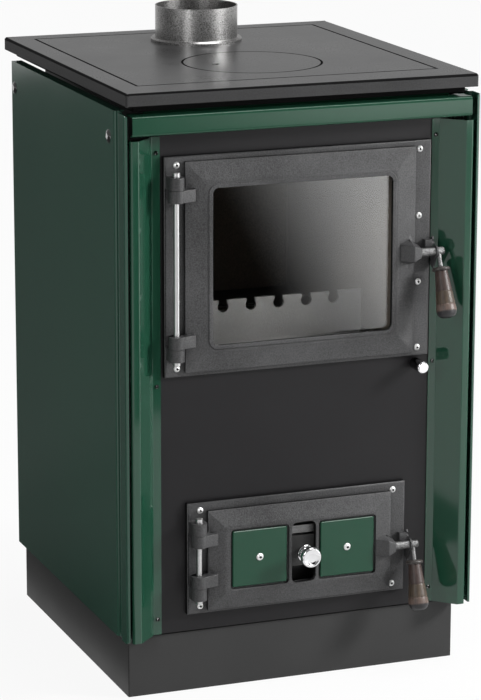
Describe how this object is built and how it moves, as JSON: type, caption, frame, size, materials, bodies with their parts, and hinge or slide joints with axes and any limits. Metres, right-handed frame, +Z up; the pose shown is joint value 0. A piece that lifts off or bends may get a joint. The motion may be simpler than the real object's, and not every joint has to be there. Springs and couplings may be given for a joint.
{
  "type": "wood burning stove",
  "caption": "Free-standing wood burning stove with a hob, a glazed fire door, an ash door with an air slide, a shaker grate and a top flue collar.",
  "frame": {"origin": "on the floor, below the middle of the hob", "axes": "+X to the right seen from the front, +Y to the back, +Z up"},
  "size_m": [0.521, 0.588, 0.902],
  "materials": {
    "casing_enamel": "glossy dark green enamel on sheet steel",
    "trim_enamel": "high gloss green enamel on sheet steel",
    "tile_enamel": "high gloss green enamel tile",
    "front_black": "satin anthracite heat resistant paint",
    "plinth_paint": "matt anthracite paint",
    "steel_sheet": "dark heat resistant paint on sheet steel",
    "cast_black": "fine grained dark grey casting",
    "hob_iron": "ground dark grey casting",
    "flue_zinc": "mottled zinc grey",
    "bright_steel": "bright drawn steel",
    "chrome": "polished chrome",
    "handle_wood": "turned dark brown hardwood, oiled",
    "door_glass": "clear ceramic glass",
    "seal_rope": "woven dark glass fibre rope",
    "firebrick": "pale brown fire clay",
    "grate_iron": "rough grey casting",
    "pan_zinc": "zinc coated sheet"
  },
  "bodies": {
    "stove_body": {"plinth": "plinth_paint", "body_floor": "steel_sheet", "inner_wall_left": "steel_sheet", "inner_wall_right": "steel_sheet", "rear_wall": "steel_sheet", "rear_cover": "steel_sheet", "front_plate": "front_black", "front_trim_left": "trim_enamel", "front_trim_right": "trim_enamel", "trim_screws": "bright_steel", "header_rail": "trim_enamel", "side_panel_left": "casing_enamel", "side_panel_right": "casing_enamel", "panel_brackets": "steel_sheet", "panel_screws": "bright_steel", "hob_frame": "hob_iron", "hotplate": "hob_iron", "flue_collar": "flue_zinc", "firebrick_left": "firebrick", "firebrick_right": "firebrick", "firebrick_rear": "firebrick", "baffle": "firebrick", "grate_bed": "grate_iron", "log_guard": "grate_iron", "ash_shelf": "steel_sheet", "ash_pan": "pan_zinc", "fire_door_frame": "cast_black", "fire_frame_screws": "bright_steel", "fire_hinge_rod": "bright_steel", "ash_door_frame": "cast_black", "ash_frame_screws": "bright_steel", "ash_hinge_rod": "bright_steel"},
    "fire_door": {"fire_door_leaf": "cast_black", "fire_door_glass": "door_glass", "glass_seal": "seal_rope", "glass_clips": "bright_steel", "fire_door_gasket": "seal_rope"},
    "fire_latch": {"fire_latch_shaft": "cast_black", "fire_latch_hook": "cast_black", "fire_grip_rod": "bright_steel", "fire_grip_ferrule": "handle_wood", "fire_grip": "handle_wood"},
    "ash_door": {"ash_door_leaf": "cast_black", "ash_tile_left": "tile_enamel", "ash_tile_right": "tile_enamel", "tile_screws": "bright_steel", "ash_door_gasket": "seal_rope", "air_slide_guides": "steel_sheet"},
    "ash_latch": {"ash_latch_shaft": "cast_black", "ash_latch_hook": "cast_black", "ash_grip_rod": "bright_steel", "ash_grip_ferrule": "handle_wood", "ash_grip": "handle_wood"},
    "air_slide": {"air_slide_plate": "steel_sheet", "air_slide_knob": "chrome"},
    "shaker": {"shaker_rod": "bright_steel", "shaker_knob": "chrome", "shaker_grate": "grate_iron"},
    "lid": {"hotplate_lid": "hob_iron"}
  },
  "joints": [
    {"name": "fire_door_hinge", "type": "hinge", "parent": "stove_body", "child": "fire_door", "pos_m": [-0.182, -0.266, 0.607], "axis": [0, 0, -1], "range_deg": [0, 120]},
    {"name": "fire_latch_turn", "type": "hinge", "parent": "fire_door", "child": "fire_latch", "pos_m": [0.2014, -0.269, 0.605], "axis": [-1, 0, 0], "range_deg": [0, 90]},
    {"name": "ash_door_hinge", "type": "hinge", "parent": "stove_body", "child": "ash_door", "pos_m": [-0.15, -0.266, 0.1945], "axis": [0, 0, -1], "range_deg": [0, 120]},
    {"name": "ash_latch_turn", "type": "hinge", "parent": "ash_door", "child": "ash_latch", "pos_m": [0.1694, -0.269, 0.18525], "axis": [-1, 0, 0], "range_deg": [0, 90]},
    {"name": "air_slide_lift", "type": "slide", "parent": "ash_door", "child": "air_slide", "axis": [0, 0, 1], "range_m": [-0.022, 0.022]},
    {"name": "shaker_pull", "type": "slide", "parent": "stove_body", "child": "shaker", "axis": [0, -1, 0], "range_m": [0, 0.03]},
    {"name": "lid_lift", "type": "slide", "parent": "stove_body", "child": "lid", "axis": [0, 0, 1], "range_m": [0, 0.06]}
  ]
}
